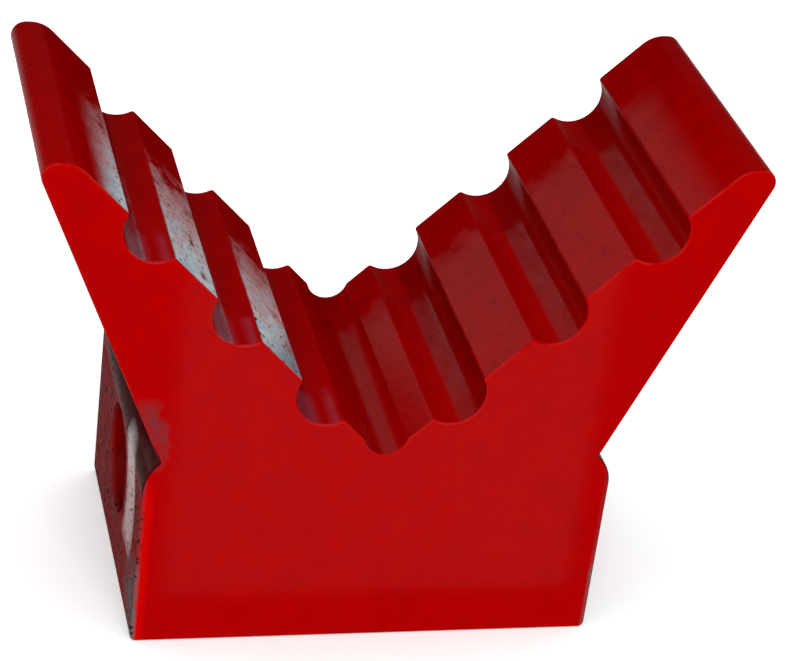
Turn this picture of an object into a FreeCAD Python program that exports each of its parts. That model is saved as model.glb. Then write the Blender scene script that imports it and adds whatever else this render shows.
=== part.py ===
import FreeCAD, Part
import math
import os
import Sketcher
from FreeCAD import Placement, Vector

# Driving dimensions in millimetres and degrees.
# X runs across the vee, Y from the front face to the back face, Z up from the underside.
DIMENSIONS = {
    # Foot, which stands between the cheeks of the trailer's bracket
    "base_width": 75,
    "block_depth": 50,
    "side_height": 28,
    "heel_radius": 1,
    # Shoulder and neck, where the foot runs in under the arms
    "neck_inset": 2.5,
    "shoulder_height": 5.2,
    "neck_radius": 0.6,
    # Hole for the bracket's spindle
    "bore_diameter": 18,
    "bore_below_shoulder": 0.5,
    "web_above_bore": 6.7,
    # Round channel along the bottom of the vee
    "valley_width": 6.8,
    "valley_depth": 2.7,
    # Ribbed faces that hold the bow, measured up the slope
    "vee_angle": 90,
    "first_land": 5.2,
    "groove_width": 10,
    "groove_depth": 4,
    "groove_count": 3,
    "land_width": 10,
    "end_land": 11.4,
    "lip_radius": 0.6,
    # Arm ends
    "tip_width": 6.2,
    "tip_inner_radius": 5,
    "tip_outer_radius": 2.3,
    # Mould radius around the front face; the mould parts at the back face, whose edges are sharp
    "rim_radius": 0.4,
}

# Places that follow from the driving dimensions, as expressions on the sheet
NECK_X = "Sizes.base_width / 2 - Sizes.neck_inset"
NECK_Z = "Sizes.side_height + Sizes.shoulder_height"
BORE_TOP = "Sizes.side_height - Sizes.bore_below_shoulder"
BORE_Z = f"{BORE_TOP} - Sizes.bore_diameter / 2"
VALLEY_FLOOR = f"{BORE_TOP} + Sizes.web_above_bore"
VALLEY_LIP_X = "Sizes.valley_width / 2"
VALLEY_LIP_Z = f"{VALLEY_FLOOR} + Sizes.valley_depth"
PITCH = "(Sizes.groove_width + Sizes.land_width)"
FACE_LENGTH = f"Sizes.first_land + Sizes.groove_count * {PITCH} - Sizes.land_width + Sizes.end_land"
FACE_SLOPE = "(90 - Sizes.vee_angle / 2) * 1 deg"

# Points of a sketch's lines and arcs, and the sketch's own origin
START, END, CENTRE = range(1, 4)
ORIGIN = (-1, START)

# Two places this close together, in millimetres, are the same place
SAME_PLACE = 0.001

doc = FreeCAD.newDocument("v_block")
sheet = doc.addObject("Spreadsheet::Sheet", "Sizes")
for row, (alias, number) in enumerate(DIMENSIONS.items(), 1):
    sheet.set(f"A{row}", alias)
    sheet.set(f"B{row}", str(number))
    sheet.setAlias(f"B{row}", alias)
doc.recompute()

block = doc.addObject("PartDesign::Body", "v_block")
block.Label = "v_block"
block.Placement = Placement()


def at(expression):
    """Present value of an expression on the sheet, in millimetres or degrees."""
    found = sheet.evalExpression(expression)
    return float(getattr(found, "Value", found))


def origin_plane(role):
    """One of the body's own origin planes."""
    return next(item for item in block.Origin.OriginFeatures if item.Role == role)


def new_sketch(name, role):
    """An empty sketch on one of the body's origin planes."""
    sketch = block.newObject("Sketcher::SketchObject", name)
    sketch.AttachmentSupport = (origin_plane(role), [""])
    sketch.MapMode = "FlatFace"
    return sketch


def line(sketch, start, end, construction=False):
    """Adds a straight line and gives its number."""
    return sketch.addGeometry(Part.LineSegment(Vector(*start), Vector(*end)), construction)


def arc(sketch, start, middle, end):
    """Adds an arc through three points and gives its number."""
    return sketch.addGeometry(Part.Arc(Vector(*start), Vector(*middle), Vector(*end)), False)


def circle(sketch, centre, radius):
    """Adds a circle and gives its number."""
    return sketch.addGeometry(Part.Circle(Vector(*centre), Vector(0, 0, 1), radius), False)


def tie(sketch, kind, *where):
    """Adds a geometric constraint."""
    sketch.addConstraint(Sketcher.Constraint(kind, *where))


def dimension(sketch, kind, *where, value):
    """Adds a dimension that follows an expression on the sheet."""
    present = at(value)
    if kind == "Angle":
        present = math.radians(present)
    number = sketch.addConstraint(Sketcher.Constraint(kind, *where, present))
    sketch.setExpression(f"Constraints[{number}]", value)


def place(sketch, geometry, point, across, up):
    """Fixes a point of a sketch at its distances across and up from the origin."""
    dimension(sketch, "DistanceX", *ORIGIN, geometry, point, value=across)
    dimension(sketch, "DistanceY", *ORIGIN, geometry, point, value=up)


def middle_of(start, end, bulge):
    """A point off the middle of a chord, to the right as one looks along it."""
    along = Vector(*end) - Vector(*start)
    side = Vector(along.y, -along.x).normalize()
    return tuple((Vector(*start) + along / 2 + side * bulge)[:2])


def finish_cut(feature, before):
    """Rebuilds the block and makes sure that the cut took material away."""
    block.Tip = feature
    doc.recompute()
    if not block.Shape.Volume < before - 1:
        raise RuntimeError(f"{feature.Name} cuts nothing")
    return block.Shape.Volume


# Right half of the outline: foot, side, shoulder, underside of the arm, arm end, face, valley
half_base = at("Sizes.base_width / 2")
side_top = (half_base, at("Sizes.side_height"))
neck = (at(NECK_X), at(NECK_Z))
valley_floor = (0, at(VALLEY_FLOOR))
valley_lip = (at(VALLEY_LIP_X), at(VALLEY_LIP_Z))
slope = math.radians(at(FACE_SLOPE))
up_the_face = Vector(math.cos(slope), math.sin(slope))
into_the_face = Vector(up_the_face.y, -up_the_face.x)
arm_inner = tuple((Vector(*valley_lip) + up_the_face * at(FACE_LENGTH))[:2])
arm_outer = (arm_inner[0] + at("Sizes.tip_width"), arm_inner[1])

outline = new_sketch("outline", "XZ_Plane")
foot = line(outline, (0, 0), (half_base, 0))
side = line(outline, (half_base, 0), side_top)
shoulder = arc(outline, side_top, middle_of(side_top, neck, 0.5), neck)
underside = line(outline, neck, arm_outer)
arm_end = line(outline, arm_outer, arm_inner)
face = line(outline, valley_lip, arm_inner)
valley = arc(outline, valley_floor, middle_of(valley_floor, valley_lip, 1), valley_lip)
middle = line(outline, valley_floor, (0, 0))

tie(outline, "Coincident", foot, START, *ORIGIN)
tie(outline, "Coincident", foot, END, side, START)
tie(outline, "Tangent", side, END, shoulder, START)
tie(outline, "Coincident", shoulder, END, underside, START)
tie(outline, "Coincident", underside, END, arm_end, START)
tie(outline, "Coincident", arm_end, END, face, END)
tie(outline, "Coincident", face, START, valley, END)
tie(outline, "Coincident", valley, START, middle, START)
tie(outline, "Coincident", middle, END, *ORIGIN)
tie(outline, "Horizontal", foot)
tie(outline, "Vertical", side)
tie(outline, "Horizontal", arm_end)
tie(outline, "Vertical", middle)
tie(outline, "Vertical", *ORIGIN, valley, CENTRE)
dimension(outline, "DistanceX", foot, START, foot, END, value="Sizes.base_width / 2")
dimension(outline, "DistanceY", side, START, side, END, value="Sizes.side_height")
place(outline, shoulder, END, NECK_X, NECK_Z)
place(outline, face, START, VALLEY_LIP_X, VALLEY_LIP_Z)
dimension(outline, "DistanceY", middle, END, middle, START, value=VALLEY_FLOOR)
dimension(outline, "Angle", face, value=FACE_SLOPE)
dimension(outline, "Distance", face, START, face, END, value=FACE_LENGTH)
dimension(outline, "DistanceX", arm_end, END, arm_end, START, value="Sizes.tip_width")

# Half block, from the front face to the back face, and its mirror image
half_block = block.newObject("PartDesign::Pad", "half_block")
half_block.Profile = outline
half_block.SideType = "Symmetric"
half_block.setExpression("Length", "Sizes.block_depth")
doc.recompute()

whole_block = block.newObject("PartDesign::Mirrored", "whole_block")
whole_block.Originals = [half_block]
whole_block.MirrorPlane = (origin_plane("YZ_Plane"), [""])
block.Tip = whole_block
doc.recompute()
left_over = block.Shape.Volume

# First groove: a circle through both lips and the groove's bottom
groove_middle = Vector(*valley_lip) + up_the_face * at("Sizes.first_land + Sizes.groove_width / 2")
groove_bottom = groove_middle + into_the_face * at("Sizes.groove_depth")
near_lip = Vector(*valley_lip) + up_the_face * at("Sizes.first_land")

groove_sketch = new_sketch("groove_sketch", "XZ_Plane")
guide = line(groove_sketch, valley_lip, groove_middle, construction=True)
drop = line(groove_sketch, groove_middle, groove_bottom, construction=True)
lip_mark = groove_sketch.addGeometry(Part.Point(near_lip), True)
groove_round = circle(groove_sketch, groove_middle, at("Sizes.groove_width / 2"))

place(groove_sketch, guide, START, VALLEY_LIP_X, VALLEY_LIP_Z)
dimension(groove_sketch, "Angle", guide, value=FACE_SLOPE)
dimension(
    groove_sketch, "Distance", guide, START, guide, END,
    value="Sizes.first_land + Sizes.groove_width / 2",
)
tie(groove_sketch, "Coincident", guide, END, drop, START)
tie(groove_sketch, "Perpendicular", guide, drop)
dimension(groove_sketch, "Distance", drop, START, drop, END, value="Sizes.groove_depth")
tie(groove_sketch, "PointOnObject", lip_mark, START, guide)
dimension(
    groove_sketch, "Distance", lip_mark, START, guide, END, value="Sizes.groove_width / 2"
)
tie(groove_sketch, "PointOnObject", groove_round, CENTRE, drop)
tie(groove_sketch, "PointOnObject", lip_mark, START, groove_round)
tie(groove_sketch, "PointOnObject", drop, END, groove_round)

groove = block.newObject("PartDesign::Pocket", "groove")
groove.Profile = groove_sketch
groove.Type = "ThroughAll"
groove.SideType = "Symmetric"
left_over = finish_cut(groove, left_over)

# The same groove again up the slope and on the other face
grooves = block.newObject("PartDesign::MultiTransform", "grooves")
up_the_slope = block.newObject("PartDesign::LinearPattern", "up_the_slope")
up_the_slope.Direction = (groove_sketch, ["Axis0"])
up_the_slope.setExpression("Length", f"(Sizes.groove_count - 1) * {PITCH}")
up_the_slope.setExpression("Occurrences", "Sizes.groove_count")
other_face = block.newObject("PartDesign::Mirrored", "other_face")
other_face.MirrorPlane = (origin_plane("YZ_Plane"), [""])
grooves.Originals = [groove]
grooves.Transformations = [up_the_slope, other_face]
left_over = finish_cut(grooves, left_over)

# Hole for the spindle, from side to side
bore_sketch = new_sketch("bore_sketch", "YZ_Plane")
bore_round = circle(bore_sketch, (0, at(BORE_Z)), at("Sizes.bore_diameter / 2"))
tie(bore_sketch, "Vertical", *ORIGIN, bore_round, CENTRE)
dimension(bore_sketch, "DistanceY", *ORIGIN, bore_round, CENTRE, value=BORE_Z)
dimension(bore_sketch, "Diameter", bore_round, value="Sizes.bore_diameter")

bore = block.newObject("PartDesign::Pocket", "bore")
bore.Profile = bore_sketch
bore.Type = "ThroughAll"
bore.SideType = "Symmetric"
left_over = finish_cut(bore, left_over)


def corners_through(shape, corners):
    """Names of the straight edges from front to back that pass through the corners, on both halves."""
    names = []
    for number, edge in enumerate(shape.Edges, 1):
        first, last = edge.Vertexes[0].Point, edge.Vertexes[-1].Point
        crosswise = Vector(last.x - first.x, 0, last.z - first.z).Length
        if crosswise > SAME_PLACE or abs(last.y - first.y) < SAME_PLACE:
            continue
        here = Vector(abs(first.x), first.z)
        if any((here - Vector(*corner)).Length < SAME_PLACE for corner in corners):
            names.append(f"Edge{number}")
    return names


def round_off(name, edges, radius):
    """Rounds the named edges of the block as it stands."""
    sharp_block = block.Tip
    fillet = block.newObject("PartDesign::Fillet", name)
    fillet.Base = (sharp_block, edges)
    fillet.setExpression("Radius", radius)
    block.Tip = fillet
    doc.recompute()


# Both lips of each groove, and the lip of the valley
lips = [valley_lip]
for count in range(int(at("Sizes.groove_count"))):
    lower = near_lip + up_the_face * count * at(PITCH)
    upper = lower + up_the_face * at("Sizes.groove_width")
    lips += [tuple(lower[:2]), tuple(upper[:2])]

round_off("arm_ends_inner", corners_through(block.Shape, [arm_inner]), "Sizes.tip_inner_radius")
round_off("arm_ends_outer", corners_through(block.Shape, [arm_outer]), "Sizes.tip_outer_radius")
round_off("necks", corners_through(block.Shape, [neck]), "Sizes.neck_radius")
round_off("heels", corners_through(block.Shape, [(half_base, 0)]), "Sizes.heel_radius")
round_off("lips", corners_through(block.Shape, lips), "Sizes.lip_radius")


def front_edges(shape):
    """Names of the edges around the front face."""
    front = min(shape.Faces, key=lambda face: face.CenterOfMass.y)
    return [f"Edge{number}" for number, edge in enumerate(shape.Edges, 1)
            if any(edge.isSame(rim) for rim in front.Edges)]


round_off("front_rim", front_edges(block.Shape), "Sizes.rim_radius")

doc.recompute()
for item in doc.Objects:
    if "Invalid" in item.State or "Error" in item.State:
        raise RuntimeError(f"{item.Name} failed: {item.State}")
if block.Shape.isNull() or not block.Shape.isValid() or len(block.Shape.Solids) != 1:
    raise RuntimeError("the block is not one valid solid")

os.makedirs("parts", exist_ok=True)
block.Shape.exportStep(f"parts/{block.Label}.step")
print(block.Label, block.Shape.BoundBox, round(block.Shape.Volume))
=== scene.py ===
import math

import bpy
from mathutils import Matrix, Vector

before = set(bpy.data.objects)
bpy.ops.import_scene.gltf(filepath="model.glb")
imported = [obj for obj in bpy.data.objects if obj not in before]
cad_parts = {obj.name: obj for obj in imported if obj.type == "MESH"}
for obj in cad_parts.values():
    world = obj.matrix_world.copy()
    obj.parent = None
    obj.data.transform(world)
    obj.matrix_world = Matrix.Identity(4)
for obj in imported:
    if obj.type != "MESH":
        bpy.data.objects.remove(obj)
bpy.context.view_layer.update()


# The block: one moulding of soft red PVC, with the vee's ribs polished where a bow has rubbed
# them. On the left arm the ribs carry a pale painted reflection in powdery streaks. The foot's
# sides, which stood between the bracket's cheeks, are pitted and grimy, with dust and a painted
# reflection.

# MM is a millimetre in metres. The solid's sizes that the wear keeps to are in millimetres.
# RIB_FACE is how far out less how far up the ribs' faces lie, the same all along the slope.
MM = 0.001
FOOT_HALF = 37.5
FOOT_TOP = 28.0
NECK_TOP = 33.2
BORE_HEIGHT = 18.5
BORE_RADIUS = 9.0
CHANNEL_HALF = 3.3
RIB_FACE = -33.5
TIP_START = 81.5


def add(tree, kind, *links, **settings):
    """Adds a node, gives it its settings, joins sockets to it, and returns its first output in use.
    A setting is one of the node's own properties or, as in_NAME or in_NUMBER, an input's value.
    A link is a socket, for the input at the same turn, or (socket, input name or number)."""
    node = tree.nodes.new(kind)
    for name, value in settings.items():
        if name.startswith("in_"):
            key = name[3:]
            node.inputs[int(key) if key.isdigit() else key.replace("_", " ")].default_value = value
        else:
            setattr(node, name, value)
    for turn, link in enumerate(links):
        socket, where = link if isinstance(link, tuple) else (link, turn)
        tree.links.new(socket, node.inputs[where])
    return next((socket for socket in node.outputs if socket.enabled), None)


def new_material(name):
    """A node material with no nodes yet, and its tree."""
    material = bpy.data.materials.new(name)
    material.use_nodes = True
    material.node_tree.nodes.clear()
    return material, material.node_tree


# A RAMP's inputs 1 and 2 are where it starts and ends, and 3 and 4 are what it gives there.
# Settings that several nodes share are TIMES, TIMES_ADD, LARGER, SMOOTH and COLOUR.
MATHS, RAMP, MIX = "ShaderNodeMath", "ShaderNodeMapRange", "ShaderNodeMix"
VECTORS, NOISE, CELLS = "ShaderNodeVectorMath", "ShaderNodeTexNoise", "ShaderNodeTexVoronoi"
TIMES, TIMES_ADD, LARGER = ({"operation": name} for name in ("MULTIPLY", "MULTIPLY_ADD", "MAXIMUM"))
SMOOTH = {"interpolation_type": "SMOOTHSTEP"}
COLOUR = {"data_type": "RGBA"}

# Soft PVC as it comes from a mould: deep even red, nearly dull, with a little gloss where polished
moulding, tree = new_material("moulded_soft_pvc")

# Where a point is, in metres, how far out from the middle, and which way it faces
spot = add(tree, "ShaderNodeTexCoord").node.outputs
x, y, z = add(tree, "ShaderNodeSeparateXYZ", spot["Object"]).node.outputs
face_x, face_y, face_z = add(tree, "ShaderNodeSeparateXYZ", spot["Normal"]).node.outputs
out = add(tree, MATHS, x, operation="ABSOLUTE")
side = add(tree, MATHS, x, operation="SIGN")
outward = add(tree, MATHS, side, face_x, **TIMES)
left_arm = add(tree, RAMP, x, in_1=0.5 * MM, in_2=-0.5 * MM)
forward = add(tree, RAMP, face_y, in_1=-0.9, in_2=-0.98)

# Clouding of the colour, fine grain of the skin, smears, and pits where air bubbles met the mould,
# with their sizes in millimetres. The skin's grain is about 0.2 mm across and is drawn coarser, to
# show. Smears and pits are drawn out from front to back.
CLOUD = 4.35
GRAIN = 0.9
SMEAR = 3.3
BUBBLE = 0.87
DRAWN_OUT = (1, 0.6, 1)
clouds = add(tree, NOISE, spot["Object"], in_Scale=1 / (CLOUD * MM), in_Detail=5, in_Roughness=0.62)
grain = add(tree, NOISE, spot["Object"], in_Scale=1 / (GRAIN * MM), in_Detail=3, in_Roughness=0.6)
drawn_out = add(tree, VECTORS, spot["Object"], in_1=DRAWN_OUT, **TIMES)
smears = add(tree, NOISE, drawn_out, in_Scale=1 / (SMEAR * MM), in_Detail=6, in_Roughness=0.68)
bubbles = add(tree, CELLS, drawn_out, in_Scale=1 / (BUBBLE * MM))
chosen = add(tree, RAMP, bubbles.node.outputs["Color"], in_1=0.4, in_2=0.46)
pits = add(tree, RAMP, bubbles, in_1=0.42, in_2=0.22, **SMOOTH)
clustered = add(tree, RAMP, clouds, in_1=0.42, in_2=0.52, **SMOOTH)
pits = add(tree, MATHS, pits, chosen, **TIMES)
pits = add(tree, MATHS, pits, clustered, **TIMES)
patchy = add(tree, RAMP, clouds, in_1=0.36, in_2=0.56, in_3=0.3, in_4=1.0)

# Faces that slope into the vee at 45 degrees, where slope is 1.41, which are the ribs and the
# bottoms of the grooves, and the floor of the channel along the bottom of the vee
slope = add(tree, MATHS, face_z, outward, operation="SUBTRACT")
sloped = add(tree, RAMP, slope, in_1=1.22, in_2=1.33, **SMOOTH)
channel = add(tree, RAMP, out, in_1=CHANNEL_HALF * MM, in_2=(CHANNEL_HALF - 0.8) * MM, **SMOOTH)
upward = add(tree, RAMP, face_z, in_1=0.75, in_2=0.9)
channel = add(tree, MATHS, channel, upward, **TIMES)
sloped = add(tree, MATHS, sloped, channel, **LARGER)

# Grooves: their bottoms and the walls that face the valley
depth = add(tree, MATHS, out, z, operation="SUBTRACT")
sunk = add(tree, RAMP, depth, in_1=(RIB_FACE + 0.3) * MM, in_2=(RIB_FACE + 2) * MM, **SMOOTH)
groove = add(tree, MATHS, sunk, sloped, **TIMES)
wall = add(tree, RAMP, outward, in_1=-0.74, in_2=-0.9)
wall = add(tree, MATHS, wall, sunk, **TIMES)

# Rubbed part of the sloped faces: below the tips, off the grooves' steep sides, and from the
# front to a ragged line. The clouds, which are a half on average, move that line by RAGGED.
RAGGED = 12
RUBBED_TO = 20.5
under_tips = add(tree, RAMP, z, in_1=TIP_START * MM, in_2=(TIP_START - 5) * MM, **SMOOTH)
not_steep = add(tree, RAMP, face_z, in_1=0.54, in_2=0.61)
ragged = add(tree, MATHS, clouds, (y, 2), in_1=RAGGED * MM, **TIMES_ADD)
in_front = add(tree, RAMP, ragged, in_1=RUBBED_TO * MM, in_2=(RUBBED_TO - 8) * MM, **SMOOTH)
rubbed = add(tree, MATHS, sloped, under_tips, **TIMES)
rubbed = add(tree, MATHS, rubbed, not_steep, **TIMES)
rubbed = add(tree, MATHS, rubbed, in_front, **TIMES)

# Pale painted reflection on the left arm, strongest at the front, in powdery streaks, and broken
# towards the back, where the clouds move its end by TORN. Where it is strong the ribs are polished
# too.
TORN = 50
PALE_SHEEN_TO = 38.0
PALE_SHEEN_ABOVE = 41.0
torn = add(tree, MATHS, clouds, (y, 2), in_1=TORN * MM, **TIMES_ADD)
sheen_strength = add(tree, RAMP, torn, in_1=PALE_SHEEN_TO * MM, in_2=(PALE_SHEEN_TO - 32) * MM)
high = add(tree, RAMP, z, in_1=PALE_SHEEN_ABOVE * MM, in_2=(PALE_SHEEN_ABOVE + 4) * MM)
bare = add(tree, RAMP, groove, in_3=1.0, in_4=0.12)
pale_sheen = add(tree, MATHS, rubbed, left_arm, **TIMES)
pale_sheen = add(tree, MATHS, pale_sheen, sheen_strength, **TIMES)
pale_sheen = add(tree, MATHS, pale_sheen, high, **TIMES)
pale_sheen = add(tree, MATHS, pale_sheen, bare, **TIMES)
streak_field = add(tree, MATHS, y, (smears, 2), in_1=-8.0, **TIMES_ADD)
streaks = add(tree, RAMP, streak_field, in_1=0.46, in_2=0.66, in_3=0.05, in_4=1.0)
worn_through = add(tree, RAMP, clouds, in_1=0.42, in_2=0.56, in_3=0.2, in_4=1.0)
polish = add(tree, MATHS, pale_sheen, operation="POWER", in_1=2.7)
polish = add(tree, MATHS, polish, worn_through, **TIMES)

# Pale painted reflection on the front ends of the left arm's grooves, as ragged as the rubbing
# ends, off their lower walls and faint on the rim
GROOVE_SHEEN_TO = -8.0
groove_sheen = add(tree, RAMP, ragged, in_1=GROOVE_SHEEN_TO * MM, in_2=(GROOVE_SHEEN_TO - 4.5) * MM, **SMOOTH)
open_side = add(tree, RAMP, face_z, in_1=0.45, in_2=0.6)
not_lower_wall = add(tree, RAMP, face_z, in_1=1.0, in_2=0.93)
groove_sheen = add(tree, MATHS, groove_sheen, open_side, **TIMES)
groove_sheen = add(tree, MATHS, groove_sheen, not_lower_wall, **TIMES)
groove_sheen = add(tree, MATHS, groove_sheen, sunk, **TIMES)
groove_sheen = add(tree, MATHS, groove_sheen, left_arm, **TIMES)
groove_sheen = add(tree, MATHS, groove_sheen, under_tips, **TIMES)
off_rim = add(tree, RAMP, face_y, in_1=-0.35, in_2=-0.1, in_3=0.25, in_4=1.0)
groove_sheen = add(tree, MATHS, groove_sheen, off_rim, **TIMES)

# Cheeks, which are the foot's flat sides, with a pale rubbed strip between the bore and the front
STRIP_FRONT_OF = -7.0
STRIP_ABOVE = 10.0
cheek = add(tree, RAMP, out, in_1=(FOOT_HALF - 0.9) * MM, in_2=(FOOT_HALF - 0.1) * MM)
low = add(tree, RAMP, z, in_1=(FOOT_TOP + 6) * MM, in_2=(FOOT_TOP + 2) * MM)
cheek = add(tree, MATHS, cheek, low, **TIMES)
from_bore = add(tree, VECTORS, spot["Object"], in_1=(0, 1 / MM, 1 / MM), in_2=(0, 0, -BORE_HEIGHT),
                **TIMES_ADD)
from_bore = add(tree, VECTORS, from_bore, operation="LENGTH")
near_bore = add(tree, RAMP, from_bore, in_1=BORE_RADIUS + 11, in_2=BORE_RADIUS + 7.5, **SMOOTH)
off_bore = add(tree, RAMP, from_bore, in_1=BORE_RADIUS + 1.5, in_2=BORE_RADIUS + 5, **SMOOTH)
before_bore = add(tree, RAMP, y, in_1=STRIP_FRONT_OF * MM, in_2=(STRIP_FRONT_OF - 4) * MM, **SMOOTH)
upper = add(tree, RAMP, z, in_1=STRIP_ABOVE * MM, in_2=(STRIP_ABOVE + 6.5) * MM, **SMOOTH)
strip = add(tree, MATHS, cheek, before_bore, **TIMES)
strip = add(tree, MATHS, strip, near_bore, **TIMES)
strip = add(tree, MATHS, strip, upper, **TIMES)
strip = add(tree, MATHS, strip, off_bore, **TIMES)
strip = add(tree, MATHS, strip, patchy, **TIMES)

# Greyer dust low on the cheeks, towards the front
GREY_FRONT_OF = -13.0
GREY_BELOW = 17.0
foremost = add(tree, RAMP, y, in_1=GREY_FRONT_OF * MM, in_2=(GREY_FRONT_OF - 6) * MM, **SMOOTH)
lowest = add(tree, RAMP, z, in_1=GREY_BELOW * MM, in_2=(GREY_BELOW - 7) * MM, **SMOOTH)
grey_dust = add(tree, MATHS, cheek, foremost, **TIMES)
grey_dust = add(tree, MATHS, grey_dust, lowest, **TIMES)
grey_dust = add(tree, MATHS, grey_dust, patchy, **TIMES)

# Shoulders above the cheeks, and the wall of the bore
outer = add(tree, RAMP, outward, in_1=0.3, in_2=0.5)
shoulder = add(tree, RAMP, z, in_1=(FOOT_TOP - 1.5) * MM, in_2=(FOOT_TOP + 1) * MM)
shoulder = add(tree, MATHS, shoulder, outer, **TIMES)
below_neck = add(tree, RAMP, z, in_1=(NECK_TOP + 3.3) * MM, in_2=(NECK_TOP + 1.3) * MM)
shoulder = add(tree, MATHS, shoulder, below_neck, **TIMES)
inside_bore = add(tree, RAMP, from_bore, in_1=BORE_RADIUS + 0.05, in_2=BORE_RADIUS - 0.05)
behind_cheek = add(tree, RAMP, out, in_1=(FOOT_HALF - 0.1) * MM, in_2=(FOOT_HALF - 0.9) * MM)
inside_bore = add(tree, MATHS, inside_bore, behind_cheek, **TIMES)

# Front face: its greyed middle, well inside the edges, a painted highlight on its left corner below
# the shoulder, and the scuffed patch at the left neck, greyed partly by a painted reflection, which
# is an oval with a ragged outline. Its middle and half sizes are across and up.
GREYED_ABOVE = 6.0
SCUFF_SHEEN_MIDDLE = (-37.32, 37.42)
SCUFF_SHEEN_HALF = (3.57, 6.45)
within = add(tree, RAMP, out, in_1=(FOOT_HALF - 1.5) * MM, in_2=(FOOT_HALF - 6.5) * MM, **SMOOTH)
above = add(tree, RAMP, z, in_1=GREYED_ABOVE * MM, in_2=(GREYED_ABOVE + 4.5) * MM, **SMOOTH)
middle = add(tree, MATHS, forward, within, **TIMES)
middle = add(tree, MATHS, middle, above, **TIMES)
# Painted highlight: the left corner of the front face, below the shoulder, is made brighter
corner = add(tree, RAMP, x, in_1=(2.5 - FOOT_HALF) * MM, in_2=(1.3 - FOOT_HALF) * MM, **SMOOTH)
beside_foot = add(tree, RAMP, z, in_1=(FOOT_TOP + 3) * MM, in_2=(FOOT_TOP - 1) * MM)
corner = add(tree, MATHS, corner, beside_foot, **TIMES)
corner = add(tree, MATHS, corner, forward, **TIMES)
# Scuffed patch at the left neck, greyed partly by a painted reflection
(scuff_x, scuff_z), (half_wide, half_high) = SCUFF_SHEEN_MIDDLE, SCUFF_SHEEN_HALF
from_neck = add(tree, VECTORS, spot["Object"],
                in_1=(1 / (half_wide * MM), 0, 1 / (half_high * MM)),
                in_2=(-scuff_x / half_wide, 0, -scuff_z / half_high), **TIMES_ADD)
from_neck = add(tree, VECTORS, from_neck, operation="LENGTH")
from_neck = add(tree, MATHS, clouds, (from_neck, 2), in_1=2.2, **TIMES_ADD)
scuff_and_sheen = add(tree, RAMP, from_neck, in_1=2.25, in_2=1.75, **SMOOTH)
scuff_and_sheen = add(tree, MATHS, scuff_and_sheen, forward, **TIMES)
scuff_and_sheen = add(tree, MATHS, scuff_and_sheen, patchy, **TIMES)

# Worn edges and painted highlight lines: where the surface turns within half a millimetre, and the
# front face's round rim
TURN_WITHIN = 0.5
turned = add(tree, "ShaderNodeBevel", samples=6, in_Radius=TURN_WITHIN * MM)
turn = add(tree, VECTORS, turned, spot["Normal"], operation="DOT_PRODUCT")
edge = add(tree, RAMP, turn, in_1=0.985, in_2=0.9)
leaning = add(tree, RAMP, face_y, in_1=-0.15, in_2=-0.45)
# Painted highlight lines along the front face's round rim
rim = add(tree, RAMP, face_y, in_1=-0.97, in_2=-0.85)
rim = add(tree, MATHS, rim, leaning, **TIMES)
edge = add(tree, MATHS, edge, rim, **LARGER)
broken = add(tree, RAMP, clouds, in_1=0.38, in_2=0.55, in_4=0.3)
edge = add(tree, MATHS, edge, broken, **TIMES)

# Painted shade on the bore's wall, the shoulders darkened, and grime in the pits and hollows of
# cheeks, the left arm's pale patch and ribs
hollows = add(tree, RAMP, smears, in_1=0.37, in_2=0.31)
hollows = add(tree, MATHS, hollows, pits, **LARGER)
pitted = add(tree, MATHS, cheek, pale_sheen, **LARGER)
pitted = add(tree, MATHS, rubbed, (pitted, 2), in_1=0.2, **TIMES_ADD)
pitted = add(tree, MATHS, pitted, hollows, use_clamp=True, **TIMES)
# Painted shade darkens the bore's wall, and the shoulders are darkened too
dirt_and_shade = add(tree, MATHS, inside_bore, shoulder, **LARGER)
dirt_and_shade = add(tree, MATHS, dirt_and_shade, in_1=0.88, **TIMES)
dirt_and_shade = add(tree, MATHS, dirt_and_shade, pitted, **LARGER)

# Colour, in the order in which one thing lies on another. The red darkens at random, and towards
# the back and a little on the front face as painted shade, and the pale painted reflection turns
# pink towards the back.
RED = "#C80001"
AGED_AND_SHADED_RED = "#8E0003"
HIGHLIGHT_RED = "#DC0203"
WORN_EDGE_AND_HIGHLIGHT = "#EE3A34"
GREYED_RED = "#84343A"
GROOVE_SHEEN_RED = "#B8465A"
CHEEK_DUST_AND_SHEEN = "#92383A"
GREY_DUST = "#7C7072"
GRIME_AND_SHADE = "#2A0A0A"
PALE_SHEEN_BLUE = "#9AC6D6"
ROSY_SHEEN = "#C87C8C"


def linear(hex_colour):
    """Linear red, green, blue and alpha of an sRGB hex colour."""
    channels = [int(hex_colour[i:i + 2], 16) / 255 for i in (1, 3, 5)]
    return [c / 12.92 if c <= 0.04045 else ((c + 0.055) / 1.055) ** 2.4 for c in channels] + [1]


# Painted shade: the red darkens towards the back, on top of its random clouding
shaded_back = add(tree, RAMP, y, in_1=-20 * MM, in_2=22 * MM, in_3=0.0, in_4=0.4)
cloudy = add(tree, RAMP, clouds, in_1=0.3, in_2=0.7, in_3=-0.12, in_4=0.22)
age_and_shade = add(tree, MATHS, shaded_back, cloudy, operation="ADD", use_clamp=True)
colour = add(tree, MIX, age_and_shade, in_6=linear(RED), in_7=linear(AGED_AND_SHADED_RED), **COLOUR)
# Painted shade: the front face, which faces the broad light, is darkened a little
front = add(tree, MATHS, forward, in_1=0.17, **TIMES)
# Grime and painted shade in the grooves, along the channel and on the walls that face the valley
soiled_and_shaded = add(tree, MATHS, groove, channel, **LARGER)
soiled_and_shaded = add(tree, MATHS, soiled_and_shaded, wall, **LARGER)
soiled_and_shaded = add(tree, MATHS, soiled_and_shaded, in_1=0.25, **TIMES)
# Painted reflection: pale pink on the front ends of the left arm's grooves
painted_groove_sheen = add(tree, MATHS, groove_sheen, in_1=0.7, **TIMES)
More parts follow.
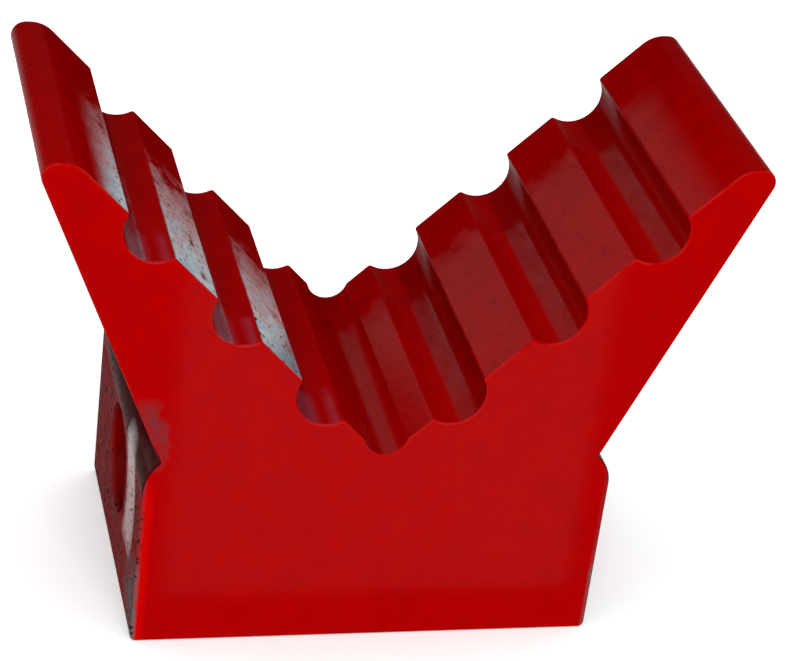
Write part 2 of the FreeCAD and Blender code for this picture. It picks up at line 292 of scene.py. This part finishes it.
# Painted reflection: the pale blue-white of the left arm's ribs, turning pink towards the back
painted_pale_sheen = add(tree, MATHS, pale_sheen, streaks, **TIMES)
painted_pale_sheen = add(tree, MATHS, painted_pale_sheen, in_1=0.95, **TIMES)
rosy_sheen = add(tree, RAMP, torn, in_1=14 * MM, in_2=29 * MM, in_3=0.0, in_4=0.7)
rosy_sheen = add(tree, MATHS, rosy_sheen, pale_sheen, **TIMES)
# Dust and a painted reflection: the cheeks' mottled pinkish grey
dust_and_sheen = add(tree, RAMP, clouds, in_1=0.38, in_2=0.6, in_3=0.55, in_4=0.95)
dust_and_sheen = add(tree, MATHS, dust_and_sheen, cheek, **TIMES)
for share, hex_colour in ((front, AGED_AND_SHADED_RED), (edge, WORN_EDGE_AND_HIGHLIGHT), (scuff_and_sheen, GREYED_RED),
                          (painted_groove_sheen, GROOVE_SHEEN_RED), (corner, HIGHLIGHT_RED), (soiled_and_shaded, GRIME_AND_SHADE),
                          (painted_pale_sheen, PALE_SHEEN_BLUE), (rosy_sheen, ROSY_SHEEN), (dust_and_sheen, CHEEK_DUST_AND_SHEEN),
                          (grey_dust, GREY_DUST), (dirt_and_shade, GRIME_AND_SHADE)):
    colour = add(tree, MIX, share, (colour, 6), in_7=linear(hex_colour), **COLOUR)

# Gloss: strong where rubbed, faint in the greyed middle, next to none elsewhere, none in pits.
# The cheeks are seen nearly edge on, where even a trace of gloss shows.
dull = add(tree, MATHS, cheek, sloped, **LARGER)
dull = add(tree, MATHS, dull, inside_bore, **LARGER)
dull = add(tree, MATHS, dull, shoulder, **LARGER)
gloss = add(tree, RAMP, dull, in_3=0.008, in_4=0.0)
mottled = add(tree, RAMP, smears, in_1=0.42, in_2=0.58, in_3=-0.4, in_4=0.25)
mottled = add(tree, MATHS, mottled, groove, in_2=1.0, **TIMES_ADD)
right_ribs = add(tree, RAMP, left_arm, in_3=0.32, in_4=0.0)
right_ribs = add(tree, MATHS, right_ribs, mottled, **TIMES)
gloss = add(tree, MATHS, rubbed, right_ribs, (gloss, 2), **TIMES_ADD)
veil = add(tree, MATHS, cheek, patchy, **TIMES)
for part, level in ((polish, 0.4), (groove_sheen, 0.02), (strip, 0.45), (shoulder, 0.003),
                    (veil, 0.0003), (middle, 0.05)):
    gloss = add(tree, MATHS, part, (gloss, 2), in_1=level, **TIMES_ADD)
clear = add(tree, RAMP, pitted, in_3=1.0, in_4=0.0)
gloss = add(tree, MATHS, gloss, clear, **TIMES)
rough = add(tree, RAMP, grain, in_1=0.3, in_2=0.7, in_3=0.2, in_4=0.38)

# Relief: the pits sink below the grain, PIT_DEPTH millimetres at most
PIT_DEPTH = 0.03
PVC_IOR = 1.53
relief = add(tree, MATHS, pitted, grain, in_1=-1.6, **TIMES_ADD)
bump = add(tree, "ShaderNodeBump", (relief, "Height"), in_Strength=0.6, in_Distance=PIT_DEPTH * MM)
shader = add(tree, "ShaderNodeBsdfPrincipled", (colour, "Base Color"), (rough, "Roughness"),
             (gloss, "Specular IOR Level"), (bump, "Normal"), in_IOR=PVC_IOR)
add(tree, "ShaderNodeOutputMaterial", shader)
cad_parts["v_block"].data.materials[0] = moulding


# Camera, at the photograph's place: ahead and to the left of the block, above it, looking down,
# and rolled. Its place and angles are those that fit the photograph best.
CAMERA_PLACE = (-96.9, -366.2, 253.9)
HEADING = -15.82
TILT_FROM_STRAIGHT_DOWN = 90 - 29.10
ROLL = 7.59
LENS, SENSOR = 120.9, 36
camera_data = bpy.data.cameras.new("camera")
camera = bpy.data.objects.new("camera", camera_data)
bpy.context.scene.collection.objects.link(camera)
camera_data.sensor_width = SENSOR
camera_data.lens = LENS
heading, tilt, roll = (math.radians(angle) for angle in (HEADING, TILT_FROM_STRAIGHT_DOWN, ROLL))
camera.matrix_world = (Matrix.Translation(Vector(CAMERA_PLACE) * MM)
                       @ Matrix.Rotation(heading, 4, "Z") @ Matrix.Rotation(tilt, 4, "X")
                       @ Matrix.Rotation(roll, 4, "Z"))
bpy.context.scene.camera = camera


# Floor: a wide sheet of white paper. It looks white to the camera and in reflections, and keeps
# the block's soft shadow round the foot.
FLOOR_HALF = 4.0
FLOOR_GAP = 0.02 * MM
SHADOW_REACH = 0.12
PAPER_WHITE = 0.8
WHITE = (1, 1, 1, 1)
corners = [(across * FLOOR_HALF, along * FLOOR_HALF, -FLOOR_GAP)
           for across, along in ((-1, -1), (1, -1), (1, 1), (-1, 1))]
floor_mesh = bpy.data.meshes.new("floor")
floor_mesh.from_pydata(corners, [], [(0, 1, 2, 3)])
floor = bpy.data.objects.new("floor", floor_mesh)
bpy.context.scene.collection.objects.link(floor)

# Matt white paper: it glows to the eye at a strength of 1, less where the block shades it, and
# lights the block only as paper does
paper, tree = new_material("matt_white_paper")
ray = add(tree, "ShaderNodeLightPath").node.outputs
seen = add(tree, MATHS, ray["Is Camera Ray"], ray["Is Glossy Ray"], **LARGER)
seen = add(tree, MATHS, seen, ray["Is Transmission Ray"], **LARGER)
open_sky = add(tree, "ShaderNodeAmbientOcclusion", samples=8, in_Distance=SHADOW_REACH)
brightness = add(tree, MATHS, seen, open_sky.node.outputs["AO"], **TIMES)
glow = add(tree, "ShaderNodeEmission", (brightness, "Strength"), in_Color=WHITE)
white = add(tree, "ShaderNodeBsdfDiffuse", in_Color=(PAPER_WHITE, PAPER_WHITE, PAPER_WHITE, 1))
both = add(tree, "ShaderNodeAddShader", glow, white)
add(tree, "ShaderNodeOutputMaterial", both)
floor_mesh.materials.append(paper)


# Light: a broad soft light before the block, a weaker one high on its left, and a dim white room.
# Both lights face the middle of the block.
BLOCK_MIDDLE = (0, 0, 40)
ROOM_LIGHT = 0.2


def soft_light(name, azimuth, elevation, distance, width, height, radiance):
    """A rectangular soft light that faces the block. The azimuth is in degrees left of the front,
    the elevation in degrees above the floor, the lengths in metres, the radiance in W/m2/sr."""
    data = bpy.data.lights.new(name, "AREA")
    data.shape = "RECTANGLE"
    data.size, data.size_y = width, height
    data.energy = radiance * math.pi * width * height
    lamp = bpy.data.objects.new(name, data)
    bpy.context.scene.collection.objects.link(lamp)
    a, e = math.radians(azimuth), math.radians(elevation)
    away = Vector((-math.sin(a) * math.cos(e), -math.cos(a) * math.cos(e), math.sin(e)))
    lamp.location = Vector(BLOCK_MIDDLE) * MM + away * distance
    lamp.rotation_euler = away.to_track_quat("Z", "Y").to_euler()


soft_light("front_light", azimuth=4, elevation=25, distance=1.0, width=0.65, height=0.4,
           radiance=7.1)
soft_light("top_light", azimuth=75, elevation=62, distance=1.2, width=0.6, height=0.6,
           radiance=1.2)

world = bpy.data.worlds.new("studio")
bpy.context.scene.world = world
world.use_nodes = True
world.node_tree.nodes.clear()
room = add(world.node_tree, "ShaderNodeBackground", in_Color=WHITE, in_Strength=ROOM_LIGHT)
add(world.node_tree, "ShaderNodeOutputWorld", room)

bpy.context.scene.view_settings.view_transform = "Standard"
